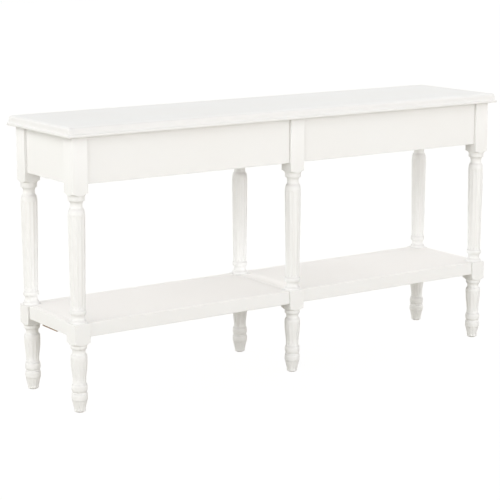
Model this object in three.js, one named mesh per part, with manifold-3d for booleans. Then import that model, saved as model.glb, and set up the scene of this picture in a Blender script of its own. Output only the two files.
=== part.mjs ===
// A console table on six turned legs, with a moulded top, a plain apron frame and a lower shelf.
// Millimetres, +Z up. X runs along the length and the front faces -Y. The origin is on the floor
// under the middle of the table.

import * as THREE from "three";
import { mergeVertices } from "three/addons/utils/BufferGeometryUtils.js";
import Module from "manifold-3d";

const wasm = await Module();
wasm.setup();

// Driving dimensions.
const LENGTH = 1550;
const DEPTH = 370;
const HEIGHT = 800;
const GAP = 0.3; // left between pieces that touch
const CUT = 1; // how far a cutting piece runs past the face it opens

const TOP_THICK = 28;
const TOP_OVERHANG = 20.5; // past the leg blocks, all round
// The top's moulded edge, going up: heights above the underside and distances in from the lip.
const EDGE = { round: 3, lip: 7, coveTop: 16, coveIn: 4.5, fillet: 19, faceIn: 12, steps: 3 };
const BLOCK = 49; // side of the square stock the legs are turned from

const APRON_BOTTOM = 640;
const APRON_THICK = 20;
const APRON_SETBACK = 8; // behind the faces of the blocks
const CROSS_RAIL_HEIGHT = 80;

const SHELF_TOP = 253;
const RAIL_HEIGHT = 39;
const RAIL_THICK = 20;
const RAIL_SETBACK = 6;
const BOARD_THICK = 15;
const MIDDLE_DROP = 2.5; // the shelf's middle rail sits this far below its boards

const TENON_LONG = 15;
const TENON_THICK = 9;
const APRON_TENON_INSET = 16; // from the apron's top and bottom edges
const RAIL_TENON_INSET = 8;

const GLIDE_RADIUS = 12;
const GLIDE_THICK = 2;

const BRACE_REACH = 90; // from the leg's axis to the brace's far corner, along each apron
const BRACE_THICK = 25;
const BRACE_HEIGHT = 50;

const BOLT_RADIUS = 3;
const BOLT_LONG = 74;
const BOLT_DEPTH = 8; // from the leg's axis to the bolt's inner end
const WASHER_RADIUS = 9;
const WASHER_THICK = 1.6;
const NUT_RADIUS = 7.4; // across its corners
const NUT_THICK = 6.5;
const NUT_SIDES = 6;

const SCREW_RADIUS = 2;
const SCREW_HEAD_RADIUS = 4;
const SCREW_HEAD_THICK = 2.4;
const SCREW_BITE = 12; // how far a screw goes into the top
const BRACE_SCREW_OFFSET = 28; // along the brace, from its bolt

const TOP_CLEAT = { wide: 20, tall: 25, long: 200, screwY: 60 };
const END_CLEAT = { wide: 15, long: 85, bottom: 200, back: 35 }; // back: its middle's place in Y
const MIDDLE_CLEAT = { wide: 15, long: 200, bottom: 211 };

// Places worked out from the driving dimensions.
const HALF_BLOCK = BLOCK / 2;
const LEG_X = LENGTH / 2 - TOP_OVERHANG - HALF_BLOCK;
const LEG_Y = DEPTH / 2 - TOP_OVERHANG - HALF_BLOCK;
const TOP_UNDERSIDE = HEIGHT - TOP_THICK;
const FRAME_TOP = TOP_UNDERSIDE - GAP;
const LEG_BOTTOM = GLIDE_THICK + GAP;
const APRON_INSET = HALF_BLOCK - APRON_SETBACK - APRON_THICK / 2; // leg axis to apron middle
const RAIL_INSET = HALF_BLOCK - RAIL_SETBACK - RAIL_THICK / 2;
const RAIL_BOTTOM = SHELF_TOP - RAIL_HEIGHT;
const BOARD_BOTTOM = SHELF_TOP - BOARD_THICK;
const BAY_CLEAR = LEG_X - BLOCK; // between the leg blocks of one bay
const END_CLEAR = 2 * LEG_Y - BLOCK;
const TOP_CLEAT_X = APRON_THICK / 2 + GAP + TOP_CLEAT.wide / 2;

const ROUND_SIDES = 16; // facets of a turned piece
const SMALL_SIDES = 10; // facets of a bolt, screw or washer
const ARC_STEPS = 2;

// The leg's outline going up: how each stretch runs, and the height and radius where it ends.
// "line" is straight, "swell" ends along the axis, "part" starts along the axis, and "ease" does both.
const BLOCK_CLEAR = 36; // past the corners of the square stock, so the stock's own faces show
const LEG_OUTLINE = [
  ["line", 10, 15.8],
  ["line", 34, 21.2],
  ["swell", 41, 22.4],
  ["line", 46, 22.4],
  ["part", 52, 20.6],
  ["line", 60, 20.4],
  ["swell", 70, 22.1],
  ["part", 81, 19.2],
  ["line", 88, 18.6],
  ["ease", 143, 23.0],
  ["line", 155, 23.0],
  ["part", 165.5, 19.6],
  ["swell", 172.5, 18.0],
  ["part", 181, 21.4],
  ["swell", 186, 22.7],
  ["line", 192.5, 22.4],
  ["line", 193.8, 27.0],
  ["part", 197.6, BLOCK_CLEAR],
  ["line", 252.6, BLOCK_CLEAR],
  ["line", 253, 23.6],
  ["part", 263, 19.0],
  ["swell", 270, 17.7],
  ["part", 278, 20.6],
  ["swell", 285, 22.5],
  ["part", 292, 20.1],
  ["line", 300, 20.1],
  ["line", 430, 22.6],
  ["line", 545, 23.7],
  ["part", 574, 18.4],
  ["swell", 584, 16.6],
  ["part", 595, 22.4],
  ["swell", 600, 23.4],
  ["line", 605.5, 23.4],
  ["part", 615.5, BLOCK_CLEAR],
  ["line", FRAME_TOP, BLOCK_CLEAR],
];
const FOOT_RADIUS = 15.4;

// Materials.
const paintedWood = () =>
  new THREE.MeshStandardMaterial({ color: 0xf2efea, roughness: 0.45, metalness: 0 });
const rawWood = () =>
  new THREE.MeshStandardMaterial({ color: 0xb98d62, roughness: 0.8, metalness: 0 });
const nylon = () =>
  new THREE.MeshStandardMaterial({ color: 0xd9d6cf, roughness: 0.6, metalness: 0 });
const zincSteel = () =>
  new THREE.MeshStandardMaterial({ color: 0xb4b6b8, roughness: 0.35, metalness: 1 });

// A closed mesh as a solid that can be joined and cut.
function solidOf(geometry) {
  const bare = geometry.clone();
  bare.deleteAttribute("normal");
  bare.deleteAttribute("uv");
  const welded = mergeVertices(bare, 1e-4);
  const index = welded.index.array;
  const triangles = [];
  for (let i = 0; i < index.length; i += 3) {
    const [a, b, c] = [index[i], index[i + 1], index[i + 2]];
    if (a !== b && b !== c && c !== a) {
      triangles.push(a, b, c);
    }
  }
  const mesh = new wasm.Mesh({
    numProp: 3,
    vertProperties: new Float32Array(welded.attributes.position.array),
    triVerts: new Uint32Array(triangles),
  });
  return new wasm.Manifold(mesh);
}

function geometryOf(solid) {
  const { vertProperties, triVerts } = solid.getMesh();
  const geometry = new THREE.BufferGeometry();
  geometry.setAttribute("position", new THREE.BufferAttribute(vertProperties, 3));
  geometry.setIndex(new THREE.BufferAttribute(triVerts, 1));
  return geometry;
}

// A box centred in plan on (x, y), from bottom to top.
function boxGeometry(x, y, sizeX, sizeY, bottom, top) {
  const geometry = new THREE.BoxGeometry(sizeX, sizeY, top - bottom);
  return geometry.translate(x, y, (bottom + top) / 2);
}

const boxSolid = (...sizes) => solidOf(boxGeometry(...sizes));

// A turned piece about Z, from an outline of [radius, z] points that starts and ends on the axis.
function turnedGeometry(outline, sides) {
  const points = outline.map(([radius, z]) => new THREE.Vector2(radius, z));
  return new THREE.LatheGeometry(points, sides).rotateX(Math.PI / 2);
}

function cylinderGeometry(radius, bottom, top, sides = SMALL_SIDES) {
  const outline = [[0, bottom], [radius, bottom], [radius, top], [0, top]];
  return turnedGeometry(outline, sides);
}

// A plan outline of [x, y] points raised from bottom to top.
function prismGeometry(outline, bottom, top) {
  const shape = new THREE.Shape(outline.map(([x, y]) => new THREE.Vector2(x, y)));
  const geometry = new THREE.ExtrudeGeometry(shape, { depth: top - bottom, bevelEnabled: false });
  return geometry.translate(0, 0, bottom);
}

// The points of one stretch of outline from (u0, z0) to (u1, z1), without its first point.
function stretch(kind, u0, z0, u1, z1, steps = ARC_STEPS) {
  if (kind === "line") {
    return [[u1, z1]];
  }
  const points = [];
  for (let i = 1; i <= steps; i += 1) {
    const turn = ((i / steps) * Math.PI) / 2;
    const along = { swell: 1 - Math.cos(turn), part: Math.sin(turn), ease: i / steps }[kind];
    const across = {
      swell: Math.sin(turn),
      part: 1 - Math.cos(turn),
      ease: (1 - Math.cos(2 * turn)) / 2,
    }[kind];
    points.push([u0 + (u1 - u0) * across, z0 + (z1 - z0) * along]);
  }
  return points;
}

function legOutline() {
  const points = [[0, LEG_BOTTOM], [FOOT_RADIUS, LEG_BOTTOM]];
  for (const [kind, z, radius] of LEG_OUTLINE) {
    const [lastRadius, lastZ] = points[points.length - 1];
    points.push(...stretch(kind, lastRadius, lastZ, radius, z));
  }
  points.push([0, FRAME_TOP]);
  return points;
}

// Half of the top's section, from its underside out to the lip and up to its face. u is measured
// inwards from the lip.
function topEdge() {
  const { round, lip, coveTop, coveIn, fillet, faceIn, steps } = EDGE;
  const z = TOP_UNDERSIDE;
  return [
    [round, z],
    ...stretch("swell", round, z, 0, z + round),
    [0, z + lip],
    ...stretch("part", 0, z + lip, coveIn, z + coveTop, steps),
    [coveIn, z + fillet],
    ...stretch("part", coveIn, z + fillet, faceIn, HEIGHT, steps),
  ];
}

// The top's whole section, of the given width, standing in a plane with its height along the
// shape's second axis.
function topSection(width) {
  const right = topEdge().map(([u, z]) => new THREE.Vector2(width / 2 - u, z));
  const left = right.map((point) => new THREE.Vector2(-point.x, point.y)).reverse();
  return new THREE.Shape([...right, ...left]);
}

// Where the screws that hold the top come up: [x, y, head height].
function topScrewPlaces() {
  const places = [];
  for (const sx of [-1, 1]) {
    for (const sy of [-1, 1]) {
      const along = BRACE_SCREW_OFFSET * Math.SQRT1_2;
      const inwards = braceMiddle() * Math.SQRT1_2;
      const x = sx * (LEG_X - inwards - along);
      const y = sy * (LEG_Y - inwards + along);
      places.push([x, y, FRAME_TOP - BRACE_HEIGHT]);
    }
  }
  for (const sy of [-1, 1]) {
    places.push([TOP_CLEAT_X, sy * TOP_CLEAT.screwY, FRAME_TOP - TOP_CLEAT.tall]);
  }
  return places;
}

function topGeometry() {
  const alongX = new THREE.ExtrudeGeometry(topSection(DEPTH), { depth: LENGTH, bevelEnabled: false });
  alongX.rotateX(Math.PI / 2).rotateZ(Math.PI / 2).translate(-LENGTH / 2, 0, 0);
  const alongY = new THREE.ExtrudeGeometry(topSection(LENGTH), { depth: DEPTH, bevelEnabled: false });
  alongY.rotateX(Math.PI / 2).translate(0, DEPTH / 2, 0);
  let top = solidOf(alongX).intersect(solidOf(alongY));
  for (const [x, y] of topScrewPlaces()) {
    const holeTop = TOP_UNDERSIDE + SCREW_BITE + CUT;
    const hole = cylinderGeometry(SCREW_RADIUS + GAP, TOP_UNDERSIDE - CUT, holeTop);
    top = top.subtract(solidOf(hole.translate(x, y, 0)));
  }
  return geometryOf(top);
}

// The mortise that a tenon enters, in a leg centred on the origin. It is cut from the face that
// looks along (dx, dy), with its middle shifted sideways.
function mortise(dx, dy, shiftX, shiftY, bottom, top) {
  const deep = TENON_LONG + GAP + CUT;
  const wide = TENON_THICK + 2 * GAP;
  const middle = HALF_BLOCK + CUT - deep / 2;
  const sizeX = dx ? deep : wide;
  const sizeY = dy ? deep : wide;
  return boxSolid(dx * middle + shiftX, dy * middle + shiftY, sizeX, sizeY, bottom - GAP, top + GAP);
}

// A leg at column sx (-1 left, 0 middle, 1 right) and row sy (-1 front, 1 back).
function legGeometry(sx, sy) {
  const turned = solidOf(turnedGeometry(legOutline(), ROUND_SIDES));
  let leg = turned.intersect(boxSolid(0, 0, BLOCK, BLOCK, LEG_BOTTOM - CUT, FRAME_TOP + CUT));
  const apron = [APRON_BOTTOM + APRON_TENON_INSET, FRAME_TOP - APRON_TENON_INSET];
  const rail = [RAIL_BOTTOM + RAIL_TENON_INSET, SHELF_TOP - RAIL_TENON_INSET];
  const sides = sx === 0 ? [-1, 1] : [-sx];
  for (const side of sides) {
    leg = leg.subtract(mortise(side, 0, 0, sy * APRON_INSET, ...apron));
    leg = leg.subtract(mortise(side, 0, 0, sy * RAIL_INSET, ...rail));
  }
  if (sx === 0) {
    const crossBottom = FRAME_TOP - CROSS_RAIL_HEIGHT + APRON_TENON_INSET;
    leg = leg.subtract(mortise(0, -sy, 0, 0, crossBottom, apron[1]));
    leg = leg.subtract(mortise(0, -sy, 0, 0, rail[0], rail[1] - MIDDLE_DROP));
    return geometryOf(leg);
  }
  leg = leg.subtract(mortise(0, -sy, sx * APRON_INSET, 0, ...apron));
  leg = leg.subtract(mortise(0, -sy, sx * RAIL_INSET, 0, ...rail));
  const hole = cylinderGeometry(BOLT_RADIUS + GAP, BOLT_DEPTH - CUT, BLOCK);
  layAlongDiagonal(hole, sx, sy);
  return geometryOf(leg.subtract(solidOf(hole)));
}

// Turns a piece made along +Z to point from a corner leg's axis to the middle of the table, at the
// height of the brace bolts.
function layAlongDiagonal(geometry, sx, sy) {
  geometry.rotateY(Math.PI / 2).rotateZ(Math.atan2(-sy, -sx));
  return geometry.translate(0, 0, FRAME_TOP - BRACE_HEIGHT / 2);
}

// A rail along X with a stub tenon at each end, between two faces that are clear apart.
function railGeometry(clear, thick, bottom, top, inset) {
  const body = boxSolid(0, 0, clear - 2 * GAP, thick, bottom, top);
  const tongue = boxSolid(0, 0, clear + 2 * TENON_LONG, TENON_THICK, bottom + inset, top - inset);
  return geometryOf(body.add(tongue));
}

// From a corner leg's axis outwards to where the brace stops short of the apron.
function braceNear() {
  return APRON_INSET - APRON_THICK / 2 - GAP;
}

// From a corner leg's axis to the middle of the brace, along the diagonal.
function braceMiddle() {
  return (BRACE_REACH - braceNear()) * Math.SQRT1_2 - BRACE_THICK / 2;
}

// The diagonal brace between two aprons, round a corner leg whose axis is at the origin. It is drawn
// for the leg whose brace lies towards +X and +Y, then mirrored.
function braceGeometry(sx, sy) {
  const near = -braceNear();
  const back = BRACE_REACH - BRACE_THICK * Math.SQRT2;
  const outline = [[near, back], [back, near], [BRACE_REACH, near], [near, BRACE_REACH]];
  const block = prismGeometry(outline, FRAME_TOP - BRACE_HEIGHT, FRAME_TOP);
  const boltHole = cylinderGeometry(BOLT_RADIUS + GAP, 0, BRACE_REACH);
  layAlongDiagonal(boltHole, -1, -1);
  const along = BRACE_SCREW_OFFSET * Math.SQRT1_2;
  const inwards = braceMiddle() * Math.SQRT1_2;
  const screwHole = screwHoleGeometry(FRAME_TOP - BRACE_HEIGHT);
  screwHole.translate(inwards + along, inwards - along, 0);
  let brace = solidOf(block).subtract(solidOf(boltHole)).subtract(solidOf(screwHole));
  if (sx > 0) {
    brace = brace.mirror([1, 0, 0]);
  }
  if (sy > 0) {
    brace = brace.mirror([0, 1, 0]);
  }
  return geometryOf(brace);
}

// A washer or nut round the bolt, from start to end along it.
function ringGeometry(outer, start, end, outerSides) {
  const ring = solidOf(cylinderGeometry(outer, start, end, outerSides));
  const bore = cylinderGeometry(BOLT_RADIUS + GAP, start - CUT, end + CUT);
  return geometryOf(ring.subtract(solidOf(bore)));
}

// The clearance hole for a screw, up through a piece that starts at bottom and ends under the top.
function screwHoleGeometry(bottom) {
  return cylinderGeometry(SCREW_RADIUS + GAP, bottom - CUT, FRAME_TOP + CUT);
}

// A screw pointing up, with its domed head under z = 0.
function screwGeometry(long) {
  const headBottom = -GAP - SCREW_HEAD_THICK;
  const outline = [
    [0, headBottom],
    ...stretch("swell", 0, headBottom, SCREW_HEAD_RADIUS, -GAP),
    [SCREW_RADIUS, -GAP],
    [SCREW_RADIUS, long - SCREW_RADIUS * 2],
    [0, long],
  ];
  return turnedGeometry(outline, SMALL_SIDES);
}

// Half of the shelf's surface, notched round the blocks of its four legs.
function boardGeometry(side) {
  const outer = LEG_X + HALF_BLOCK - RAIL_SETBACK - RAIL_THICK - GAP;
  const inner = RAIL_THICK / 2 + GAP;
  const wide = LEG_Y + HALF_BLOCK - RAIL_SETBACK - RAIL_THICK - GAP;
  const notchOuter = LEG_X - HALF_BLOCK - GAP;
  const notchInner = HALF_BLOCK + GAP;
  const notchY = LEG_Y - HALF_BLOCK - GAP;
  const half = [
    [inner, notchY],
    [notchInner, notchY],
    [notchInner, wide],
    [notchOuter, wide],
    [notchOuter, notchY],
    [outer, notchY],
  ];
  const outline = [...half, ...half.map(([x, y]) => [x, -y]).reverse()];
  return prismGeometry(outline.map(([x, y]) => [side * x, y]), BOARD_BOTTOM, SHELF_TOP);
}

function cleatGeometry(cleat, top) {
  return boxGeometry(0, 0, cleat.wide, cleat.long, cleat.bottom, top);
}

const group = new THREE.Group();

function place(name, geometry, material, x = 0, y = 0, z = 0, parent = group) {
  const mesh = new THREE.Mesh(geometry, material);
  mesh.name = name;
  mesh.position.set(x, y, z);
  parent.add(mesh);
  return mesh;
}

const COLUMNS = [["left", -1], ["middle", 0], ["right", 1]];
const ROWS = [["front", -1], ["back", 1]];
const SIDES = [["left", -1], ["right", 1]];

place("table_top", topGeometry(), paintedWood());

for (const [row, sy] of ROWS) {
  for (const [column, sx] of COLUMNS) {
    const stand = new THREE.Group();
    stand.position.set(sx * LEG_X, sy * LEG_Y, 0);
    group.add(stand);
    place(`leg_${row}_${column}`, legGeometry(sx, sy), paintedWood(), 0, 0, 0, stand);
    const glide = cylinderGeometry(GLIDE_RADIUS, 0, GLIDE_THICK, ROUND_SIDES);
    place(`glide_${row}_${column}`, glide, nylon(), 0, 0, 0, stand);
  }
}

// The long aprons and shelf rails, one of each for every bay, front and back.
for (const [row, sy] of ROWS) {
  for (const [side, sx] of SIDES) {
    const x = (sx * LEG_X) / 2;
    const apron = railGeometry(BAY_CLEAR, APRON_THICK, APRON_BOTTOM, FRAME_TOP, APRON_TENON_INSET);
    place(`apron_${row}_${side}`, apron, paintedWood(), x, sy * (LEG_Y + APRON_INSET));
    const rail = railGeometry(BAY_CLEAR, RAIL_THICK, RAIL_BOTTOM, SHELF_TOP, RAIL_TENON_INSET);
    place(`shelf_rail_${row}_${side}`, rail, paintedWood(), x, sy * (LEG_Y + RAIL_INSET));
  }
}

// The aprons and shelf rails that close the ends.
for (const [side, sx] of SIDES) {
  const apron = railGeometry(END_CLEAR, APRON_THICK, APRON_BOTTOM, FRAME_TOP, APRON_TENON_INSET);
  const apronMesh = place(`apron_end_${side}`, apron, paintedWood(), sx * (LEG_X + APRON_INSET));
  apronMesh.rotation.z = Math.PI / 2;
  const rail = railGeometry(END_CLEAR, RAIL_THICK, RAIL_BOTTOM, SHELF_TOP, RAIL_TENON_INSET);
  const railMesh = place(`shelf_rail_end_${side}`, rail, paintedWood(), sx * (LEG_X + RAIL_INSET));
  railMesh.rotation.z = Math.PI / 2;
}

// The two rails that join the middle legs from front to back.
const crossBottom = FRAME_TOP - CROSS_RAIL_HEIGHT;
const cross = railGeometry(END_CLEAR, APRON_THICK, crossBottom, FRAME_TOP, APRON_TENON_INSET);
place("cross_rail_middle", cross, rawWood()).rotation.z = Math.PI / 2;
const middleTop = SHELF_TOP - MIDDLE_DROP;
const middle = railGeometry(END_CLEAR, RAIL_THICK, RAIL_BOTTOM, middleTop, RAIL_TENON_INSET);
place("shelf_rail_middle", middle, paintedWood()).rotation.z = Math.PI / 2;

for (const [side, sx] of SIDES) {
  place(`shelf_board_${side}`, boardGeometry(sx), paintedWood());
  const cleatTop = BOARD_BOTTOM - GAP;
  const endX = LEG_X + RAIL_INSET - RAIL_THICK / 2 - GAP - END_CLEAT.wide / 2;
  place(`shelf_cleat_${side}`, cleatGeometry(END_CLEAT, cleatTop), rawWood(), sx * endX, END_CLEAT.back);
  const middleX = RAIL_THICK / 2 + GAP + MIDDLE_CLEAT.wide / 2;
  const middleCleat = cleatGeometry(MIDDLE_CLEAT, cleatTop);
  place(`shelf_cleat_middle_${side}`, middleCleat, rawWood(), sx * middleX);
}

// The corner braces, each drawn to its leg by a hanger bolt with a washer and a nut.
for (const [row, sy] of ROWS) {
  for (const [side, sx] of SIDES) {
    const corner = new THREE.Group();
    corner.position.set(sx * LEG_X, sy * LEG_Y, 0);
    group.add(corner);
    const name = `${row}_${side}`;
    place(`brace_${name}`, braceGeometry(sx, sy), rawWood(), 0, 0, 0, corner);
    const bolt = cylinderGeometry(BOLT_RADIUS, BOLT_DEPTH, BOLT_DEPTH + BOLT_LONG);
    place(`brace_bolt_${name}`, layAlongDiagonal(bolt, sx, sy), zincSteel(), 0, 0, 0, corner);
    const washerStart = braceMiddle() + BRACE_THICK / 2 + GAP;
    const washer = ringGeometry(WASHER_RADIUS, washerStart, washerStart + WASHER_THICK, ROUND_SIDES);
    place(`brace_washer_${name}`, layAlongDiagonal(washer, sx, sy), zincSteel(), 0, 0, 0, corner);
    const nutStart = washerStart + WASHER_THICK + GAP;
    const nut = ringGeometry(NUT_RADIUS, nutStart, nutStart + NUT_THICK, NUT_SIDES);
    place(`brace_nut_${name}`, layAlongDiagonal(nut, sx, sy), zincSteel(), 0, 0, 0, corner);
  }
}

// The cleat beside the middle cross rail, and the screws that hold the top down.
let topCleat = boxSolid(0, 0, TOP_CLEAT.wide, TOP_CLEAT.long, FRAME_TOP - TOP_CLEAT.tall, FRAME_TOP);
for (const sy of [-1, 1]) {
  const hole = screwHoleGeometry(FRAME_TOP - TOP_CLEAT.tall);
  topCleat = topCleat.subtract(solidOf(hole.translate(0, sy * TOP_CLEAT.screwY, 0)));
}
place("top_cleat_middle", geometryOf(topCleat), rawWood(), TOP_CLEAT_X);

const SCREW_NAMES = ["front_left", "back_left", "front_right", "back_right", "middle_front", "middle_back"];
topScrewPlaces().forEach(([x, y, head], i) => {
  const long = TOP_UNDERSIDE + SCREW_BITE - head;
  place(`top_screw_${SCREW_NAMES[i]}`, screwGeometry(long), zincSteel(), x, y, head);
});

export default group;
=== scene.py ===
"""A white painted console table on six turned and fluted legs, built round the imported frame.

Metres, +Z up. X runs along the table, the front faces -Y, and the origin is on the floor under
the table's middle. Places come from the frame's nodes; outlines are given in millimetres.
"""

import math

import bmesh
import bpy
from mathutils import Matrix, Vector


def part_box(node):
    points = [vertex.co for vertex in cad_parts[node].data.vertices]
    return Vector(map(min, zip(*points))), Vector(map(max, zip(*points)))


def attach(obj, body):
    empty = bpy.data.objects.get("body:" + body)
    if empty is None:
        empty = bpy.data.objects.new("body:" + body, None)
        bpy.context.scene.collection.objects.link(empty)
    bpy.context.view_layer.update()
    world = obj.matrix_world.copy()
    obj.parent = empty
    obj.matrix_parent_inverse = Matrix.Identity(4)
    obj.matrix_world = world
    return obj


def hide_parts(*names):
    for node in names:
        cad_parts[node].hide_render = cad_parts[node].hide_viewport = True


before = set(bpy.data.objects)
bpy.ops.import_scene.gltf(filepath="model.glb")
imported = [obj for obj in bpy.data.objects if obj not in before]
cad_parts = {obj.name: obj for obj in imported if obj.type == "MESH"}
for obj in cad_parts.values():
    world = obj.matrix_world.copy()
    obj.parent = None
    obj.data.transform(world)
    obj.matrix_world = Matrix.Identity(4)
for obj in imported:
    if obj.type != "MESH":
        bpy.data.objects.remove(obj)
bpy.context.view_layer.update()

MM = 0.001
SIDES = (("left", -1), ("right", 1))
ROWS = (("front", -1), ("back", 1))
COLUMNS = (("left", -1), ("middle", 0), ("right", 1))


# ---------------------------------------------------------------- the camera, the light, the floor

CAMERA_PLACE = (-2.8426, -4.0154, 1.3512)
CAMERA_YAW = math.radians(34.7413)
CAMERA_PITCH = math.radians(9.7567)
CAMERA_LENS = 117.94
CAMERA_SHIFT = -0.1

WHITE = (1, 1, 1, 1)
SKY_COLOUR = (1.0, 0.995, 0.98, 1)
# Strengths of the studio's sky: a ring of light half way up that is brightest at the table's two
# ends and then behind it, a dim ceiling inside it, and a low window on the left.
RING_LIGHT = 0.45
RING_SIDE_LIGHT = 4.0
RING_BACK_LIGHT = 2.3
CEILING_LIGHT = 0.09
WINDOW_LIGHT = 2.38
# Where each part of the sky fades, as the sine of its rise: from nothing to its full strength.
RING_EDGE = (0.20, 0.52)
CEILING_EDGE = (0.64, 0.82)
WINDOW_EDGE = (0.28, 0.16)
STUDIO_MIDDLE = (0, 0, 0.4)
LIGHT_AWAY = 9.0
LIGHT_SIZE = 4.7
# Each soft light: its turn from the front towards the right, its rise, its power and its colour.
LIGHTS = {
    "front_left_light": (-60, 7, 130, (1.0, 1.0, 1.0)),
    "front_right_light": (20, 7, 400, (1.0, 0.985, 0.99)),
    "low_light": (-20, 1, 60, (1.0, 0.985, 0.99)),
}
FLOOR_COLOUR = (0.435, 0.412, 0.352, 1)
FLOOR_FIBRE = (0.465, 0.442, 0.382, 1)
FLOOR_WHITE = 1.12
FLOOR_GLOW = 0.86 # the share of the floor's look that no shadow reaches
FLOOR_HALF = 20 # from the table's middle to the floor's edge


def make_camera():
    data = bpy.data.cameras.new("camera")
    data.lens = CAMERA_LENS
    data.sensor_width = 36
    data.shift_y = CAMERA_SHIFT
    camera = bpy.data.objects.new("camera", data)
    camera.location = CAMERA_PLACE
    camera.rotation_euler = (math.pi / 2 - CAMERA_PITCH, 0, -CAMERA_YAW)
    bpy.context.scene.collection.objects.link(camera)
    bpy.context.scene.camera = camera


def area_light(name, turn, rise, power, colour):
    """A square soft light, on a ball round the table's middle and facing it."""
    data = bpy.data.lights.new(name, "AREA")
    data.shape = "SQUARE"
    data.size = LIGHT_SIZE
    data.energy = power
    data.color = colour
    turn, rise = math.radians(turn), math.radians(rise)
    out = Vector((math.sin(turn) * math.cos(rise), -math.cos(turn) * math.cos(rise), math.sin(rise)))
    light = bpy.data.objects.new(name, data)
    light.location = Vector(STUDIO_MIDDLE) + out * LIGHT_AWAY
    light.rotation_mode = "QUATERNION"
    light.rotation_quaternion = (-out).to_track_quat("-Z", "Y")
    bpy.context.scene.collection.objects.link(light)


def sky_strength(tree):
    direction = add(tree, "TexCoord").outputs["Generated"]
    parts = add(tree, "SeparateXYZ", Vector=direction).outputs
    height = parts["Z"]
    behind = squared(tree, ranged(tree, parts["Y"], 0.0, 1.0))
    sideways = squared(tree, parts["X"])
    leftward = squared(tree, ranged(tree, parts["X"], 0.0, -1.0))
    ceiling = ranged(tree, height, *CEILING_EDGE)
    ring = calculated(tree, "SUBTRACT", ranged(tree, height, *RING_EDGE), ceiling)
    window = calculated(tree, "MULTIPLY", ranged(tree, height, *WINDOW_EDGE), leftward)
    ring_light = calculated(tree, "MULTIPLY_ADD", behind, RING_BACK_LIGHT, RING_LIGHT)
    ring_light = calculated(tree, "MULTIPLY_ADD", sideways, RING_SIDE_LIGHT, ring_light)
    total = calculated(tree, "MULTIPLY", ring, ring_light)
    total = calculated(tree, "MULTIPLY_ADD", ceiling, CEILING_LIGHT, total)
    return calculated(tree, "MULTIPLY_ADD", window, WINDOW_LIGHT, total)


def light_the_studio():
    scene = bpy.context.scene
    scene.view_settings.view_transform = "Standard"
    world = bpy.data.worlds.new("studio")
    world.use_nodes = True
    tree = world.node_tree
    sky = tree.nodes["Background"]
    sky.inputs["Color"].default_value = SKY_COLOUR
    tree.links.new(sky_strength(tree), sky.inputs["Strength"])
    backdrop = add(tree, "Background", Color=WHITE, Strength=1.0)
    seen = add(tree, "LightPath").outputs["Is Camera Ray"]
    both = add(tree, "MixShader", Fac=seen)
    tree.links.new(sky.outputs["Background"], both.inputs[1])
    tree.links.new(backdrop.outputs["Background"], both.inputs[2])
    tree.links.new(both.outputs["Shader"], tree.nodes["World Output"].inputs["Surface"])
    scene.world = world
    for name, settings in LIGHTS.items():
        area_light(name, *settings)


def make_floor():
    mesh = bpy.data.meshes.new("floor")
    corners = [(sx * FLOOR_HALF, sy * FLOOR_HALF, 0) for sx, sy in ((-1, -1), (1, -1), (1, 1), (-1, 1))]
    mesh.from_pydata(corners, [], [(0, 1, 2, 3)])
    floor = bpy.data.objects.new("floor", mesh)
    bpy.context.scene.collection.objects.link(floor)
    mesh.materials.append(floor_paper())


# ---------------------------------------------------------------- materials


def new_material(name):
    """A new material, its node tree and its shader."""
    material = bpy.data.materials.new(name)
    material.use_nodes = True
    tree = material.node_tree
    return material, tree, tree.nodes["Principled BSDF"]


def add(tree, kind, settings=None, **inputs):
    """A node of the given kind. An input is a number, a colour, or another node's output."""
    made = tree.nodes.new("ShaderNode" + kind)
    for key, value in (settings or {}).items():
        setattr(made, key, value)
    for key, value in inputs.items():
        socket = made.inputs[key.replace("_", " ")]
        if isinstance(value, bpy.types.NodeSocket):
            tree.links.new(value, socket)
        else:
            socket.default_value = value
    return made


def stretched(tree, scales):
    """The piece's own coordinates, in metres, multiplied by a number for each axis."""
    place = add(tree, "TexCoord").outputs["Object"]
    return add(tree, "Mapping", Vector=place, Scale=scales).outputs["Vector"]


def noise(tree, scales, detail=3.0, roughness=0.5, distortion=0.0):
    """Noise from 0 to 1, with so many cells to a metre along each axis."""
    made = add(tree, "TexNoise", Vector=stretched(tree, scales), Scale=1.0, Detail=detail,
               Roughness=roughness, Distortion=distortion)
    return made.outputs["Fac"]


def ranged(tree, value, low, high, to_low=0.0, to_high=1.0):
    """The value carried over from one range to another, and kept inside it."""
    made = add(tree, "MapRange", Value=value)
    for key, number in zip(("From Min", "From Max", "To Min", "To Max"), (low, high, to_low, to_high)):
        made.inputs[key].default_value = number
    return made.outputs["Result"]


def calculated(tree, operation, *values):
    """The result of a sum. Each value is a number or an output."""
    made = add(tree, "Math", {"operation": operation})
    for socket, value in zip(made.inputs, values):
        if isinstance(value, bpy.types.NodeSocket):
            tree.links.new(value, socket)
        else:
            socket.default_value = value
    return made.outputs["Value"]


def squared(tree, value):
    return calculated(tree, "MULTIPLY", value, value)


def mixed(tree, share, first, second):
    """Two colours mixed. Either may be a colour or an output."""
    made = add(tree, "Mix", {"data_type": "RGBA"})
    for index, value in ((0, share), (6, first), (7, second)):
        socket = made.inputs[index]
        if isinstance(value, bpy.types.NodeSocket):
            tree.links.new(value, socket)
        else:
            socket.default_value = value
    return made.outputs[2]


def bumped(tree, layers):
    """Bump layers of (height, strength, depth), one over the other."""
    normal = None
    for height, strength, depth in layers:
        made = add(tree, "Bump", Height=height, Strength=strength, Distance=depth)
        if normal is not None:
            tree.links.new(normal, made.inputs["Normal"])
        normal = made.outputs["Normal"]
    return normal


def along_grain(axis, across, along):
    """Scales for grain that runs along an axis."""
    scales = [across] * 3
    scales["XYZ".index(axis)] = along
    return scales


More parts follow.
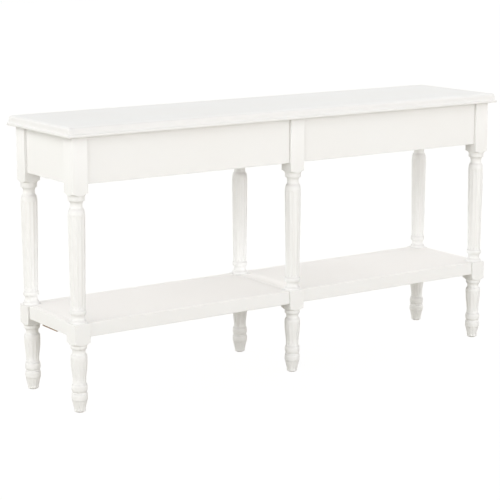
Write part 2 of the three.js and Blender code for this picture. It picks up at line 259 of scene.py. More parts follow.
PAINT = (0.868, 0.872, 0.868, 1)
PAINT_WARM = (0.863, 0.862, 0.854, 1)
PAINT_EDGE_HIGHLIGHT = (0.880, 0.882, 0.879, 1)
SHELF_PAINTED_LIGHT = (0.928, 0.908, 0.892, 1) # painted light: the shelf's upper side, a little lighter and warmer
PAINT_HOLLOW_SHADE = (0.846, 0.838, 0.824, 1)
PAINT_SLOPE_SHADE = (0.778, 0.774, 0.768, 1)
PAINT_CREVICE_SHADE = (0.765, 0.738, 0.695, 1)
# Where slopes get painted shade: how far up a surface looks, from and to, and the shares of the darker
# colour.
MOULDING_SLOPES = (0.12, 0.45, 0.0, 1.0)
TOP_SLOPES = (-0.40, -0.10, 0.0, 0.62)
EDGE_NEAR = 0.0025 # how near an edge or a crevice the painted highlight and the painted shade reach
HOLLOW_NEAR = 0.014
# How far the brush strokes and the grain show on pieces that run along each axis.
STROKES_SHOW = {"X": 0.8, "Y": 0.8, "Z": 0.3}


def painted_wood(axis, name="painted_wood_", on_shelf=False, slopes=MOULDING_SLOPES):
    """Satin white paint brushed along the grain, with a painted highlight on its edges and painted shade in
    hollows, crevices and on sloping mouldings; on the shelf, upward faces are painted lighter instead.
    """
    material, tree, shader = new_material(name + axis)
    drift = noise(tree, (5.0, 5.0, 5.0), detail=2.0)
    strokes = noise(tree, along_grain(axis, 620.0, 16.0), detail=4.0, roughness=0.6, distortion=0.4)
    grain = noise(tree, along_grain(axis, 150.0, 4.0), detail=5.0, roughness=0.55, distortion=0.8)
    stipple = noise(tree, (1500.0, 1500.0, 1500.0), detail=1.0)
    colour = mixed(tree, ranged(tree, drift, 0.35, 0.70), PAINT, PAINT_WARM)
    show = STROKES_SHOW[axis]
    streak = ranged(tree, grain, 0.56, 0.74, 0.0, 0.35 * show)
    colour = mixed(tree, streak, colour, PAINT_WARM)
    # painted highlight: edges are painted lighter, as if light caught them
    inside = add(tree, "AmbientOcclusion", {"samples": 4, "inside": True}, Distance=EDGE_NEAR)
    edge = ranged(tree, inside.outputs["AO"], 0.75, 0.35, 0.0, 0.5)
    colour = mixed(tree, edge, colour, PAINT_EDGE_HIGHLIGHT)
    upward = add(tree, "SeparateXYZ", Vector=add(tree, "NewGeometry").outputs["Normal"]).outputs["Z"]
    if on_shelf:
        # painted light: the shelf's upward faces are painted lighter and warmer, standing in for light that
        # reaches them
        colour = mixed(tree, ranged(tree, upward, 0.30, 0.90, 0.0, 0.9), colour, SHELF_PAINTED_LIGHT)
    else:
        # painted shade: sloping faces of mouldings and of the top's edge are painted darker, below the flat
        # upper faces
        below, above = ranged(tree, upward, *slopes), ranged(tree, upward, 0.97, 0.85)
        colour = mixed(tree, calculated(tree, "MULTIPLY", below, above), colour, PAINT_SLOPE_SHADE)
    # painted shade: hollows within HOLLOW_NEAR of other surfaces are painted darker
    around = add(tree, "AmbientOcclusion", {"samples": 4}, Distance=HOLLOW_NEAR)
    hollow = ranged(tree, around.outputs["AO"], 0.85, 0.45, 0.0, 0.75)
    colour = mixed(tree, hollow, colour, PAINT_HOLLOW_SHADE)
    # painted shade: tight crevices are painted darker and warmer
    outside = add(tree, "AmbientOcclusion", {"samples": 4}, Distance=EDGE_NEAR)
    crevice_shade = ranged(tree, outside.outputs["AO"], 0.60, 0.15, 0.0, 0.35)
    colour = mixed(tree, crevice_shade, colour, PAINT_CREVICE_SHADE)
    tree.links.new(colour, shader.inputs["Base Color"])
    tree.links.new(ranged(tree, strokes, 0.3, 0.7, 0.40, 0.52), shader.inputs["Roughness"])
    layers = ((grain, 0.10 * show, 0.0003), (strokes, 0.14 * show, 0.0001), (stipple, 0.2, 0.00003))
    tree.links.new(bumped(tree, layers), shader.inputs["Normal"])
    return material


WOOD_EARLY = (0.36, 0.235, 0.145, 1)
WOOD_LATE = (0.25, 0.145, 0.080, 1)
WOOD_PALE = (0.40, 0.27, 0.175, 1)
WOOD_PORE = (0.17, 0.095, 0.052, 1)


def bare_wood(axis):
    """Planed pine with growth rings, fine pores and a dry surface."""
    material, tree, shader = new_material("bare_wood_" + axis)
    rings = add(tree, "TexWave", {"wave_type": "BANDS", "bands_direction": "DIAGONAL"},
                Vector=stretched(tree, along_grain(axis, 1.0, 0.06)), Scale=38.0,
                Distortion=3.5, Detail=2.0)
    rings.inputs["Detail Scale"].default_value = 1.2
    pores = noise(tree, along_grain(axis, 900.0, 25.0), detail=3.0)
    drift = noise(tree, (9.0, 9.0, 9.0), detail=2.0)
    colour = mixed(tree, ranged(tree, rings.outputs["Fac"], 0.25, 0.95), WOOD_EARLY, WOOD_LATE)
    colour = mixed(tree, ranged(tree, drift, 0.3, 0.7, 0.0, 0.5), colour, WOOD_PALE)
    colour = mixed(tree, ranged(tree, pores, 0.60, 0.78, 0.0, 0.6), colour, WOOD_PORE)
    tree.links.new(colour, shader.inputs["Base Color"])
    tree.links.new(ranged(tree, pores, 0.3, 0.7, 0.72, 0.88), shader.inputs["Roughness"])
    layers = ((rings.outputs["Fac"], 0.2, 0.0003), (pores, 0.5, 0.0002))
    tree.links.new(bumped(tree, layers), shader.inputs["Normal"])
    return material


NYLON_PALE = (0.66, 0.64, 0.58, 1)
NYLON_DULL = (0.58, 0.555, 0.50, 1)


def moulded_nylon():
    """Off-white nylon, dulled by the floor."""
    material, tree, shader = new_material("glide_plastic")
    cloud = noise(tree, (60.0, 60.0, 60.0))
    scuffs = noise(tree, (1800.0, 220.0, 400.0), detail=4.0)
    colour = mixed(tree, ranged(tree, cloud, 0.3, 0.7), NYLON_PALE, NYLON_DULL)
    tree.links.new(colour, shader.inputs["Base Color"])
    tree.links.new(ranged(tree, scuffs, 0.3, 0.7, 0.42, 0.66), shader.inputs["Roughness"])
    tree.links.new(bumped(tree, ((scuffs, 0.4, 0.0001),)), shader.inputs["Normal"])
    shader.inputs["Subsurface Weight"].default_value = 0.12
    shader.inputs["Subsurface Scale"].default_value = 0.002
    return material


ZINC_BLUE = (0.62, 0.64, 0.66, 1)
ZINC_YELLOW = (0.66, 0.64, 0.58, 1)


def zinc_plate():
    """Bright zinc with the faint yellow and blue clouds that passivation leaves."""
    material, tree, shader = new_material("zinc_steel")
    cloud = noise(tree, (160.0, 160.0, 160.0), detail=3.0)
    wear = noise(tree, (900.0, 900.0, 900.0), detail=4.0)
    colour = mixed(tree, ranged(tree, cloud, 0.3, 0.7), ZINC_BLUE, ZINC_YELLOW)
    tree.links.new(colour, shader.inputs["Base Color"])
    tree.links.new(ranged(tree, wear, 0.3, 0.7, 0.24, 0.44), shader.inputs["Roughness"])
    tree.links.new(bumped(tree, ((wear, 0.3, 0.00005),)), shader.inputs["Normal"])
    shader.inputs["Metallic"].default_value = 1.0
    return material


def floor_paper():
    """A seamless pale backdrop. The camera sees a white that keeps only a little of each shadow."""
    material, tree, shader = new_material("floor_paper")
    fibre = noise(tree, (300.0, 300.0, 300.0))
    colour = mixed(tree, fibre, FLOOR_COLOUR, FLOOR_FIBRE)
    tree.links.new(colour, shader.inputs["Base Color"])
    shader.inputs["Roughness"].default_value = 1.0
    shader.inputs["Specular IOR Level"].default_value = 0.0
    glow = add(tree, "Emission", Color=WHITE, Strength=FLOOR_WHITE)
    seen = add(tree, "LightPath").outputs["Is Camera Ray"]
    both = add(tree, "MixShader", Fac=calculated(tree, "MULTIPLY", seen, FLOOR_GLOW))
    tree.links.new(shader.outputs["BSDF"], both.inputs[1])
    tree.links.new(glow.outputs["Emission"], both.inputs[2])
    tree.links.new(both.outputs["Shader"], tree.nodes["Material Output"].inputs["Surface"])
    return material


PAINTED = {axis: painted_wood(axis) for axis in "XYZ"}
PAINTED_TOP = painted_wood("X", "painted_top_", slopes=TOP_SLOPES)
PAINTED_SHELF = {axis: painted_wood(axis, "painted_shelf_", on_shelf=True) for axis in "XY"}
BARE = {axis: bare_wood(axis) for axis in "XY"}
NYLON = moulded_nylon()
ZINC = zinc_plate()


# ---------------------------------------------------------------- mesh helpers


SAME_PLACE = 1e-7
NEARLY = 1e-6 # lengths this close count as the same
ROUND_STEPS = 48 # round a glide, a washer or a nut
FINE_STEPS = 24 # round a bolt or a screw


def finish_piece(bm, name, material, node, weighted=False):
    """The piece as an object that rides on the table and stands for its CAD node."""
    bmesh.ops.remove_doubles(bm, verts=bm.verts, dist=SAME_PLACE)
    bmesh.ops.recalc_face_normals(bm, faces=bm.faces)
    mesh = bpy.data.meshes.new(name)
    bm.to_mesh(mesh)
    bm.free()
    mesh.shade_smooth()
    mesh.materials.append(material)
    piece = bpy.data.objects.new(name, mesh)
    bpy.context.scene.collection.objects.link(piece)
    if weighted:
        modifier = piece.modifiers.new("even_shading", "WEIGHTED_NORMAL")
        modifier.weight = 100
        modifier.keep_sharp = True
    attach(piece, "root")
    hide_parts(node)


def stretch(kind, start, end, steps):
    """Points from start to end, both (across, along), without the first.

    A line is straight, a swell ends along the axis, a part starts along it, and an ease does both.
    """
    if kind == "line":
        return [end]
    points = []
    for i in range(1, steps + 1):
        turn = i / steps * math.pi / 2
        across = {"swell": math.sin(turn), "part": 1 - math.cos(turn),
                  "ease": (1 - math.cos(2 * turn)) / 2}[kind]
        along = {"swell": 1 - math.cos(turn), "part": math.sin(turn), "ease": i / steps}[kind]
        points.append((start[0] + (end[0] - start[0]) * across,
                       start[1] + (end[1] - start[1]) * along))
    return points


def outline(start, stretches, steps):
    """An outline in metres, from a start and (kind, along, across) stretches in millimetres."""
    points = [start]
    for kind, along, across in stretches:
        points += stretch(kind, points[-1], (across, along), steps)
    return [(across * MM, along * MM) for across, along in points]


def skin(bm, columns, closed_columns=False):
    """Quads between neighbouring columns of points, the last joined to the first."""
    grid = [[bm.verts.new(point) for point in column] for column in columns]
    rows = len(grid[0])
    for i, column in enumerate(grid):
        following = grid[(i + 1) % len(grid)]
        for k in range(rows if closed_columns else rows - 1):
            above = (k + 1) % rows
            bm.faces.new((column[k], following[k], following[above], column[above]))
    return grid


def turned(bm, centre, angles, column, hollow=False, placed=None):
    """A closed piece about Z. column(angle) gives its (radius, height) points going up."""
    columns = []
    for angle in angles:
        points = [Vector((r * math.cos(angle), r * math.sin(angle), z)) for r, z in column(angle)]
        if placed is not None:
            points = [placed @ point for point in points]
        columns.append([point + Vector(centre) for point in points])
    grid = skin(bm, columns, closed_columns=hollow)
    if not hollow:
        bm.faces.new([column[0] for column in reversed(grid)])
        bm.faces.new([column[-1] for column in grid])


def even_angles(count):
    """Angles all the way round, in equal steps."""
    return [2 * math.pi * i / count for i in range(count)]


def add_box(bm, low, high):
    """A box between two corners."""
    size = Vector(high) - Vector(low)
    middle = (Vector(high) + Vector(low)) / 2
    matrix = Matrix.Translation(middle) @ Matrix.Diagonal((*size, 1))
    return bmesh.ops.create_cube(bm, size=1, matrix=matrix)["verts"]


def soften(bm, edges, width, segments=3):
    """Rounds edges over."""
    bmesh.ops.bevel(bm, geom=list(edges), offset=width, offset_type="OFFSET", segments=segments,
                    profile=0.5, affect="EDGES", clamp_overlap=True)


# ---------------------------------------------------------------- legs

LEG_NODE = "leg_front_left"
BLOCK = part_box(LEG_NODE)[1].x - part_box(LEG_NODE)[0].x
BLOCK_ARRIS = 0.0014 # radius of the block's long edges
LEG_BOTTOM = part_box(LEG_NODE)[0].z
LEG_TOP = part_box(LEG_NODE)[1].z
BLOCK_CLEAR = 36 # past the corners of the square stock
ARC_STEPS = 7
FOOT_RADIUS = 14.8
LEG_OUTLINE = (
    ("line", 4, 15.4), ("line", 10, 15.9), ("line", 34, 21.2), ("swell", 41, 22.5),
    ("line", 46, 22.5), ("part", 53.5, 20.9), ("line", 54.2, 20.2), ("line", 59.6, 20.1),
    ("line", 60.3, 20.8), ("swell", 69.5, 22.2), ("part", 80, 19.6), ("line", 82, 18.8), ("line", 88, 18.6),
    ("ease", 143, 23.1), ("line", 155, 23.1), ("part", 165.5, 19.6), ("swell", 172.5, 18.0),
    ("part", 181, 21.4), ("swell", 186, 22.8), ("part", 191.2, 22.3), ("swell", 192.1, 21.0),
    ("line", 192.8, 21.0), ("part", 193.5, 25.6), ("line", 193.8, 27.0), ("part", 197.6, BLOCK_CLEAR),
    ("line", 252.6, BLOCK_CLEAR), ("line", 253, 23.6), ("part", 263, 19.0), ("swell", 270, 17.7),
    ("part", 278, 20.6), ("swell", 285, 22.5), ("part", 291.5, 20.6), ("line", 292.5, 19.9),
    ("line", 300, 20.1), ("line", 430, 22.6), ("line", 545, 23.7), ("part", 574, 18.4),
    ("swell", 584, 16.6), ("part", 595, 22.4), ("swell", 600, 23.4), ("line", 605.5, 23.4),
    ("part", 615.5, BLOCK_CLEAR), ("line", 770, BLOCK_CLEAR),
)
# Where each shoulder between turned work and square stock starts and ends, going up.
SHOULDERS = ((0.1928, 0.1976), (0.2520, 0.2530), (0.6055, 0.6155))
SHOULDER_ROWS = 8
SHOULDER_BLUNT = 0.0009
FACE_ROWS = (0.0003, 0.0008, 0.0018) # rows just inside the lower block's faces
BLOCK_MIDDLE = 0.225
HALVINGS = 40 # steps in finding where turned work meets square stock

FLUTES = 12
FLUTE_TURN = math.pi / FLUTES
FLUTE_HALF_ANGLE = 0.80 * math.pi / FLUTES
FLUTE_BLUNT = 0.00025
# Each run of flutes: its ends, its depth, and how far each end takes to rise out of the wood.
FLUTE_RUNS = (
    {"low": 0.0050, "high": 0.0370, "deep": 0.0008, "rise": 0.008},
    {"low": 0.0880, "high": 0.1500, "deep": 0.0009, "rise": 0.009},
    {"low": 0.2980, "high": 0.5560, "deep": 0.0014, "rise": 0.007},
)
RISE_STEPS = 6
ROWS_APART = 0.030
ROWS_CLOSEST = 0.00012
COLUMNS_PER_FLUTE = 12
ARRIS_ANGLES = (0.7, 1.4, 2.1) # degrees on each side of a corner of the block


def radius_at(points, z):
    """The outline's radius at a height."""
    for (r0, z0), (r1, z1) in zip(points, points[1:]):
        if z0 <= z <= z1 and z1 > z0:
            return r0 + (r1 - r0) * (z - z0) / (z1 - z0)
    return points[0][0] if z < points[0][1] else points[-1][0]


def block_reach(angle, half, arris):
    """From the middle of a square with rounded corners to its edge, in the given direction."""
    turn = abs((angle + math.pi / 4) % (math.pi / 2) - math.pi / 4)
    if math.tan(turn) * half <= half - arris:
        return half / math.cos(turn)
    corner = half - arris
    nearest = corner * (math.cos(turn) + math.sin(turn))
    return nearest + math.sqrt(arris ** 2 - 2 * corner ** 2 + nearest ** 2)


def blunt_least(first, second, width):
    """The smaller of two lengths, with the crease between them rounded over a width."""
    near = max(width - abs(first - second), 0) / width
    return min(first, second) - near * near * width / 4


def flute_depth(angle, radius, z):
    """How deep the flutes' round cutter goes at one place on the leg."""
    across = (angle % (2 * FLUTE_TURN) - FLUTE_TURN) * radius
    for run in FLUTE_RUNS:
        if run["low"] < z < run["high"]:
            into = min(z - run["low"], run["high"] - z, run["rise"]) / run["rise"]
            deep = run["deep"] * math.sqrt(1 - (1 - into) ** 2)
            half = radius * FLUTE_HALF_ANGLE
            cutter = (half ** 2 + run["deep"] ** 2) / (2 * run["deep"])
            if abs(across) >= cutter:
                return 0.0
            cut = math.sqrt(cutter ** 2 - across ** 2) - (cutter - deep)
            return -blunt_least(-cut, 0.0, FLUTE_BLUNT)
    return 0.0


def leg_angles():
    """The directions of a leg's columns: even ones, and more round the block's corners."""
    angles = even_angles(FLUTES * COLUMNS_PER_FLUTE)
    for corner in range(4):
        middle = math.pi / 4 + corner * math.pi / 2
        for degrees in ARRIS_ANGLES:
            angles += [middle - math.radians(degrees), middle + math.radians(degrees)]
    return sorted(angles)


def crossing(points, reach, low, high):
    """The height in a shoulder at which the turned outline is as wide as the block."""
    widening = radius_at(points, high) > radius_at(points, low)
    for _ in range(HALVINGS):
        middle = (low + high) / 2
        if (radius_at(points, middle) < reach) == widening:
            low = middle
        else:
            high = middle
    return (low + high) / 2


def turned_rows(points, low, high):
    """The heights of a turned stretch's rows: its outline's points, and more where flutes run."""
    heights = {round(z, 6) for _, z in points if low <= z <= high} | {low, high}
    for run in FLUTE_RUNS:
        if low <= run["low"] and run["high"] <= high:
            for i in range(RISE_STEPS + 1):
                rise = run["rise"] * (1 - math.cos(i / RISE_STEPS * math.pi / 2))
                heights |= {run["low"] + rise, run["high"] - rise}
            between = run["high"] - run["low"]
            steps = max(2, round(between / ROWS_APART))
            heights |= {run["low"] + between * i / steps for i in range(1, steps)}
    kept = []
    for z in sorted(heights):
        if not kept or z - kept[-1] > ROWS_CLOSEST:
            kept.append(z)
    return kept


def leg_column(points, angle):
    """The (radius, height) points of one column of a leg, from the foot to the top."""
    reach = block_reach(angle, BLOCK / 2, BLOCK_ARRIS)
    first, second, third = SHOULDERS
    turn = [i / SHOULDER_ROWS * math.pi / 2 for i in range(1, SHOULDER_ROWS + 1)]

    def round_row(z):
        r = radius_at(points, z)
        return (r - flute_depth(angle, r, z), z)

    def square_row(z):
        return (blunt_least(radius_at(points, z), reach, SHOULDER_BLUNT), z)

    rises = [crossing(points, reach, *first), crossing(points, reach, *second),
             crossing(points, reach, *third)]
    column = [round_row(z) for z in turned_rows(points, LEG_BOTTOM, first[0])]
    column += [square_row(first[0] + (rises[0] - first[0]) * math.sin(t)) for t in turn]
    column += [square_row(rises[0] + step) for step in FACE_ROWS]
    column += [(reach, BLOCK_MIDDLE)]
    column += [square_row(rises[1] - step) for step in reversed(FACE_ROWS)]
    column += [square_row(rises[1] + (second[1] - rises[1]) * (1 - math.cos(t))) for t in [0, *turn]]
    column += [round_row(z) for z in turned_rows(points, second[1], third[0])[1:]]
    column += [square_row(third[0] + (rises[2] - third[0]) * math.sin(t)) for t in turn]
    column += [square_row(rises[2] + step) for step in FACE_ROWS]
    blunt = SHOULDER_BLUNT
    column += [(reach, LEG_TOP - blunt), (reach - 0.3 * blunt, LEG_TOP - 0.3 * blunt),
               (reach - blunt, LEG_TOP), (reach / 2, LEG_TOP)]
    return [(column[0][0] / 2, LEG_BOTTOM), *column]


def make_legs():
    points = outline((FOOT_RADIUS, LEG_BOTTOM / MM), LEG_OUTLINE, ARC_STEPS)
    angles = leg_angles()
    columns = {angle: leg_column(points, angle) for angle in angles}
    for row, _ in ROWS:
        for column, _ in COLUMNS:
            node = f"leg_{row}_{column}"
            low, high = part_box(node)
            bm = bmesh.new()
            turned(bm, ((low.x + high.x) / 2, (low.y + high.y) / 2, 0), angles, columns.get)
            finish_piece(bm, f"turned_leg_{row}_{column}", PAINTED["Z"], node)


GLIDE_RIM = 0.0009 # the height of the glide's rounded lower edge
GLIDE_HOLD = 0.35 # a ring this share of the way out keeps each flat face's shading flat


def make_glides():
    for row, _ in ROWS:
        for column, _ in COLUMNS:
            node = f"glide_{row}_{column}"
            low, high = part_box(node)
            radius, top, rim = (high.x - low.x) / 2, high.z, GLIDE_RIM
            section = [(radius * GLIDE_HOLD, 0), (radius - 2.2 * rim, 0), (radius - 1.2 * rim, 0.1 * rim),
                       (radius - 0.3 * rim, 0.5 * rim), (radius, 1.3 * rim), (radius, top - 0.2 * rim),
                       (radius - 0.2 * rim, top), (radius * GLIDE_HOLD, top)]
            bm = bmesh.new()
            centre = ((low.x + high.x) / 2, (low.y + high.y) / 2, 0)
            turned(bm, centre, even_angles(ROUND_STEPS), lambda angle: section)
            finish_piece(bm, f"foot_glide_{row}_{column}", NYLON, node, weighted=True)


# ---------------------------------------------------------------- the top

# The moulded edge going up from the underside: (kind, height, distance in from the lip).
TOP_EDGE_START = (3.2, 0)
TOP_EDGE = (
    ("line", 0.01, 2.5), ("swell", 2.8, 0), ("part", 8.4, 1.8), ("swell", 14.6, 5.2),
    ("line", 18.4, 5.2), ("part", 28, 13.0),
)
TOP_CORNER = 0.006 # radius of the lip's corner in plan
TOP_CORNER_FADE = 0.016 # how far in from the lip the corner would be sharp
TOP_CORNER_LEAST = 0.0006
TOP_CORNER_STEPS = 6
TOP_HOLD = 0.0015 # a last ring just inside each flat face, which keeps the face's shading flat


def top_ring(inset, z, half_x, half_y):
    """The points at one height round the top, with corners that sharpen towards its middle."""
    radius = max(TOP_CORNER * (1 - inset / TOP_CORNER_FADE), TOP_CORNER_LEAST)
    points = []
    for sx, sy in ((1, 1), (-1, 1), (-1, -1), (1, -1)):
        start = math.atan2(sy, sx) - math.pi / 4
        for i in range(TOP_CORNER_STEPS + 1):
            angle = start + i / TOP_CORNER_STEPS * math.pi / 2
            points.append((sx * (half_x - inset - radius) + radius * math.cos(angle),
                           sy * (half_y - inset - radius) + radius * math.sin(angle), z))
    return points


def make_top():
    low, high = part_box("table_top")
    half_x, half_y = high.x, high.y
    section = outline(TOP_EDGE_START, TOP_EDGE, ARC_STEPS)
    inset_low, inset_high = section[0][0], section[-1][0]
    section = [(inset_low + TOP_HOLD, 0), *section, (inset_high + TOP_HOLD, high.z - low.z)]
    rings = [top_ring(inset, low.z + z, half_x, half_y) for inset, z in section]
    bm = bmesh.new()
    grid = skin(bm, list(zip(*rings)))
    bm.faces.new([column[0] for column in reversed(grid)])
    bm.faces.new([column[-1] for column in grid])
    finish_piece(bm, "moulded_top", PAINTED_TOP, "table_top", weighted=True)


# ---------------------------------------------------------------- aprons, rails and cleats

TENON_LONG = 0.015
TENON_THICK = 0.009
TENON_INSET = {"apron": 0.016, "rail": 0.008}
TENON_EDGE = 0.0006
# How far each kind of rail's edges are rounded.
APRON_EDGE = 0.0012
SHELF_RAIL_EDGE = 0.0016
CROSS_RAIL_EDGE = 0.0008
MIDDLE_RAIL_EDGE = 0.0010
CLEAT_EDGE = 0.0008


def tenoned(name, node, axis, kind, edge, material):
    """A rail between two leg blocks, with softened edges and a stub tenon at each end."""
    low, high = (Vector(corner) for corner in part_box(node))
    run, across = "xy".index(axis.lower()), 1 - "xy".index(axis.lower())
    bm = bmesh.new()
    body_low, body_high = low.copy(), high.copy()
    body_low[run] += TENON_LONG
    body_high[run] -= TENON_LONG
    add_box(bm, body_low, body_high)
    soften(bm, bm.edges, edge)
    inset = TENON_INSET[kind]
    middle = (low[across] + high[across]) / 2
    for end, shoulder in ((low[run], body_low[run] + edge), (high[run], body_high[run] - edge)):
        tongue_low, tongue_high = low.copy(), high.copy()
        tongue_low[run], tongue_high[run] = min(end, shoulder), max(end, shoulder)
        tongue_low[across], tongue_high[across] = middle - TENON_THICK / 2, middle + TENON_THICK / 2
        tongue_low.z += inset
        tongue_high.z -= inset
        verts = add_box(bm, tongue_low, tongue_high)
        edges = {edge for vert in verts for edge in vert.link_edges}
        soften(bm, edges, TENON_EDGE, segments=2)
    finish_piece(bm, name, material, node, weighted=True)


def make_aprons():
    for row, _ in ROWS:
        for side, _ in SIDES:
            tenoned(f"apron_board_{row}_{side}", f"apron_{row}_{side}", "X", "apron", APRON_EDGE,
                    PAINTED["X"])
            tenoned(f"shelf_rail_board_{row}_{side}", f"shelf_rail_{row}_{side}", "X", "rail",
                    SHELF_RAIL_EDGE, PAINTED_SHELF["X"])
    for side, _ in SIDES:
        tenoned(f"end_apron_board_{side}", f"apron_end_{side}", "Y", "apron", APRON_EDGE,
                PAINTED["Y"])
        tenoned(f"end_shelf_rail_board_{side}", f"shelf_rail_end_{side}", "Y", "rail",
                SHELF_RAIL_EDGE, PAINTED_SHELF["Y"])
    tenoned("middle_cross_rail", "cross_rail_middle", "Y", "apron", CROSS_RAIL_EDGE,
            BARE["Y"])
    tenoned("middle_shelf_rail", "shelf_rail_middle", "Y", "rail", MIDDLE_RAIL_EDGE,
            PAINTED_SHELF["Y"])


def make_cleats():
    for node in ("shelf_cleat_left", "shelf_cleat_right", "shelf_cleat_middle_left",
                 "shelf_cleat_middle_right", "top_cleat_middle"):
        bm = bmesh.new()
        add_box(bm, *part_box(node))
        soften(bm, bm.edges, CLEAT_EDGE)
        finish_piece(bm, node + "_block", BARE["Y"], node, weighted=True)


# ---------------------------------------------------------------- the shelf's boards

BOARD_EDGE = 0.0007
VALLEY_WIDE = 0.032 # the board's rounded edge along the shelf's middle rail
VALLEY_DEEP = 0.0034
VALLEY_STEPS = 10
GAP = 0.0003


def make_boards():
    """The two boards, each notched round the four leg blocks of its bay."""
    leg_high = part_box(LEG_NODE)[1]
    notch_y = abs(leg_high.y) - GAP
    for side, sx in SIDES:
        node = f"shelf_board_{side}"
        low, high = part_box(node)
        outer, inner = max(abs(low.x), abs(high.x)), min(abs(low.x), abs(high.x))
        notch_outer = abs(leg_high.x) - GAP
        notch_inner = BLOCK / 2 + GAP
        half = [(inner, notch_y), (notch_inner, notch_y), (notch_inner, high.y), (notch_outer, high.y),
                (notch_outer, notch_y), (outer, notch_y)]
        plan = half + [(x, -y) for x, y in reversed(half)]
        bm = bmesh.new()
        grid = skin(bm, [[(sx * x, y, z) for z in (low.z, high.z)] for x, y in plan])
        bm.faces.new([column[0] for column in reversed(grid)])
        bm.faces.new([column[-1] for column in grid])
        rim = [edge for edge in bm.edges
               if all(vert.co.z > high.z - NEARLY for vert in edge.verts)]
        valley = [edge for edge in rim
                  if all(abs(abs(vert.co.x) - inner) < NEARLY for vert in edge.verts)]
        soften(bm, [edge for edge in rim if edge not in valley], BOARD_EDGE)
        round_valley(bm, sx, inner, high.z)
        finish_piece(bm, node + "_panel", PAINTED_SHELF["X"], node, weighted=True)


def round_valley(bm, sx, inner, top):
    """Rolls the board's top down to its inner edge, along the shelf's middle rail."""
    for i in range(1, VALLEY_STEPS + 1):
        x = sx * (inner + VALLEY_WIDE * i / VALLEY_STEPS)
        geometry = bm.verts[:] + bm.edges[:] + bm.faces[:]
        bmesh.ops.bisect_plane(bm, geom=geometry, plane_co=(x, 0, 0), plane_no=(1, 0, 0))
    for vert in bm.verts:
        into = (abs(vert.co.x) - inner) / VALLEY_WIDE
        if into < 1 and vert.co.z > top - 2 * BOARD_EDGE:
            vert.co.z -= VALLEY_DEEP * (1 + math.cos(math.pi * max(into, 0))) / 2


# ---------------------------------------------------------------- braces and fasteners

BRACE_ARRIS = 0.0012
BRACE_EDGE_LONG = 0.020 # the brace's own edges are longer than this, and sharper than BRACE_TURN
BRACE_TURN = 0.3
FLAT_TURN = math.radians(1)
BOLT_LONG, BOLT_RADIUS, BOLT_BLUNT = 0.074, 0.00295, 0.0006
THREAD_LONG, THREAD_PITCH, THREAD_DEEP = 0.016, 0.0010, 0.00055
THREAD_ROWS = 6 # for each turn of the thread
WASHER_THICK, WASHER_RADIUS, WASHER_BORE, WASHER_ROUND = 0.0016, 0.0089, 0.0033, 0.0003
NUT_THICK, NUT_RADIUS, NUT_BORE, NUT_MOUTH = 0.0065, 0.0073, 0.0030, 0.0005
NUT_SIDES = 6
NUT_FACE = 0.95 # how wide the nut's flat end is, as a share of its width
NUT_SLOPE = math.tan(math.radians(30))
SCREW_RADIUS, SCREW_TIP, SCREW_BLUNT = 0.0019, 0.004, 0.0002
HEAD_RADIUS, HEAD_THICK, HEAD_FACE = 0.0039, 0.0024, 0.0001
HEAD_OUTLINE = ((0.72, HEAD_FACE), (0.90, 0.0005), (1, 0.0012), (1, HEAD_THICK)) # shares of its radius
CROSS_REACH, CROSS_HALF, CROSS_DEEP = 0.0021, 0.00045, 0.0013
SCREW_NAMES = ("front_left", "back_left", "front_right", "back_right", "middle_front", "middle_back")


def box_middle(node):
    low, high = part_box(node)
    return (Vector(low) + Vector(high)) / 2


def make_brace(name, node):
    """The brace with its bores, its own edges softened."""
    bm = bmesh.new()
    bm.from_mesh(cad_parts[node].data)
    bmesh.ops.remove_doubles(bm, verts=bm.verts, dist=NEARLY)
    bmesh.ops.dissolve_limit(bm, angle_limit=FLAT_TURN, verts=bm.verts, edges=bm.edges)
    bmesh.ops.recalc_face_normals(bm, faces=bm.faces)
    bm.normal_update()
    own = [edge for edge in bm.edges if edge.is_convex and edge.calc_length() > BRACE_EDGE_LONG
           and edge.calc_face_angle(0) > BRACE_TURN]
    soften(bm, own, BRACE_ARRIS)
    finish_piece(bm, name, BARE["X"], node, weighted=True)


def threaded_radius(angle, z, thread_start):
    """The bolt's radius on its helical thread, which fades in above thread_start."""
    if z <= thread_start:
        return BOLT_RADIUS
    turn = (z / THREAD_PITCH - angle / (2 * math.pi)) % 1
    fade = min((z - thread_start) / THREAD_PITCH, 1)
    return BOLT_RADIUS - THREAD_DEEP * fade * (1 - abs(2 * turn - 1))


def bolt_column(angle):
    """The hanger bolt, plain in the wood and threaded at its upper end."""
    end = BOLT_LONG / 2
    thread_start = end - THREAD_LONG
    threaded = THREAD_LONG - BOLT_BLUNT
    rows = [(BOLT_RADIUS * 0.5, -end), (BOLT_RADIUS, -end + BOLT_BLUNT), (BOLT_RADIUS, 0)]
    count = round(threaded / THREAD_PITCH * THREAD_ROWS)
    for i in range(count + 1):
        z = thread_start + threaded * i / count
        rows.append((threaded_radius(angle, z, thread_start), z))
    return rows + [(BOLT_RADIUS - 1.6 * THREAD_DEEP, end)]


def washer_column(_angle):
    """A flat ring with rounded edges, the same all the way round."""
    half, soft = WASHER_THICK / 2, WASHER_ROUND
    return [(WASHER_BORE, soft - half), (WASHER_BORE + soft, -half), (WASHER_RADIUS - 2 * soft, -half),
            (WASHER_RADIUS - 0.5 * soft, 0.5 * soft - half), (WASHER_RADIUS, 1.5 * soft - half),
            (WASHER_RADIUS, half - 1.5 * soft), (WASHER_RADIUS - 0.5 * soft, half - 0.5 * soft),
            (WASHER_RADIUS - 2 * soft, half), (WASHER_BORE + soft, half), (WASHER_BORE, half - soft)]


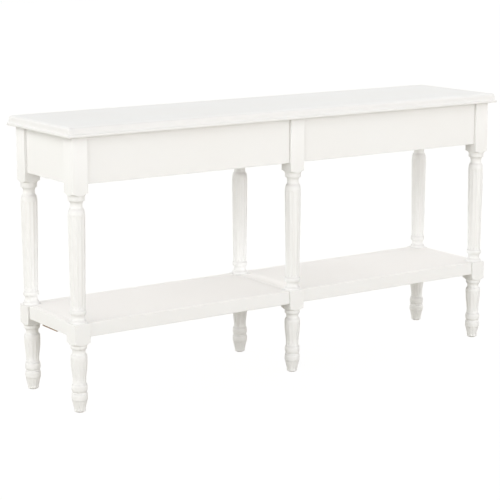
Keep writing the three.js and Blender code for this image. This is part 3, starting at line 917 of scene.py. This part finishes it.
def nut_column(angle):
    """A hexagon whose corners are turned off at both ends."""
    half = NUT_THICK / 2
    flat = NUT_RADIUS * math.cos(math.pi / NUT_SIDES)
    side = 2 * math.pi / NUT_SIDES
    reach = flat / math.cos(angle % side - side / 2)
    face = flat * NUT_FACE
    drop = (reach - face) * NUT_SLOPE
    return [(NUT_BORE, NUT_MOUTH - half), (NUT_BORE + NUT_MOUTH, -half), (face, -half),
            (reach, drop - half), (reach, half - drop), (face, half),
            (NUT_BORE + NUT_MOUTH, half), (NUT_BORE, half - NUT_MOUTH)]


def cross_reach(angle):
    """How far the head's cross-shaped recess reaches."""
    turn = abs((angle + math.pi / 4) % (math.pi / 2) - math.pi / 4)
    return min(CROSS_REACH / math.cos(turn), CROSS_HALF / max(math.sin(turn), NEARLY))


def cross_angles():
    """Even angles round a screw, and the corners of its cross."""
    mouth = math.atan2(CROSS_HALF, CROSS_REACH)
    corners = [(quarter * math.pi / 2 + turn) % (2 * math.pi)
               for quarter in range(4) for turn in (-mouth, mouth)]
    return sorted({round(angle, 6) for angle in even_angles(FINE_STEPS) + corners})


def make_screw(name, node):
    """A pan-head screw with a crossed recess, its head down."""
    low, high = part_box(node)
    long = high.z - low.z

    def column(angle):
        reach = cross_reach(angle)
        recess = [(0.45 * reach, CROSS_DEEP), (0.8 * reach, CROSS_DEEP * 0.9), (reach, HEAD_FACE)]
        head = [(HEAD_RADIUS * share, z) for share, z in HEAD_OUTLINE]
        shank = [(SCREW_RADIUS, HEAD_THICK), (SCREW_RADIUS, long - SCREW_TIP),
                 (SCREW_RADIUS * 0.1, long - SCREW_BLUNT)]
        return recess + head + shank

    middle = box_middle(node)
    bm = bmesh.new()
    turned(bm, (middle.x, middle.y, low.z), cross_angles(), column)
    finish_piece(bm, name, ZINC, node, weighted=True)


# What holds a brace: its kind, the steps round it, its columns, and whether it has a bore.
FASTENERS = (("bolt", FINE_STEPS, bolt_column, False), ("washer", ROUND_STEPS, washer_column, True),
             ("nut", ROUND_STEPS, nut_column, True))


def lay_inwards(bm, node, sx, sy, count, column, hollow):
    """A turned piece in the middle of its node, whose upper end points in from the corner leg."""
    inwards = Vector((-sx, -sy, 0)).to_track_quat("Z", "Y").to_matrix()
    turned(bm, box_middle(node), even_angles(count), column, hollow=hollow, placed=inwards)


def make_braces():
    for row, sy in ROWS:
        for side, sx in SIDES:
            corner = f"{row}_{side}"
            make_brace(f"corner_brace_{corner}", f"brace_{corner}")
            for kind, count, column, hollow in FASTENERS:
                node = f"brace_{kind}_{corner}"
                bm = bmesh.new()
                lay_inwards(bm, node, sx, sy, count, column, hollow)
                finish_piece(bm, f"hanger_{kind}_{corner}", ZINC, node, weighted=True)
    for name in SCREW_NAMES:
        make_screw(f"cross_screw_{name}", f"top_screw_{name}")


make_camera()
light_the_studio()
make_floor()
make_top()
make_legs()
make_glides()
make_aprons()
make_boards()
make_cleats()
make_braces()
